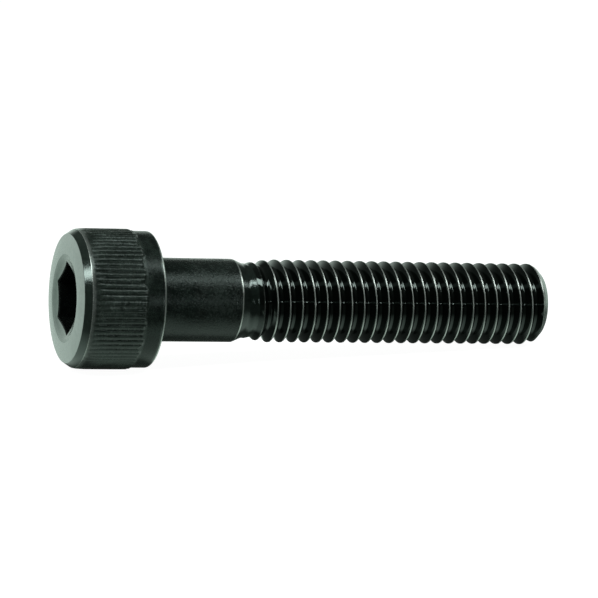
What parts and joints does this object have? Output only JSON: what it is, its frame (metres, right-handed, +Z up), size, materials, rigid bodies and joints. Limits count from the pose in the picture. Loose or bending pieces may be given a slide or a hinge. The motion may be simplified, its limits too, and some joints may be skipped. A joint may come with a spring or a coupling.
{
  "type": "hex socket cap screw",
  "caption": "Steel socket head cap screw with a knurled cylindrical head, hexagonal drive socket, plain shank and coarse right-hand thread.",
  "frame": {"origin": "on the surface the screw lies on, below the middle of its box", "axes": "+X along the screw's length from the head to the tip, which is tilted down a little as it lies, and +Z up"},
  "size_m": [0.0484, 0.0132, 0.0135],
  "materials": {
    "black_oxide_steel": "black oxide on alloy steel, lightly oiled, satin"
  },
  "bodies": {
    "root": {"cap_screw": "black_oxide_steel"}
  },
  "joints": []
}
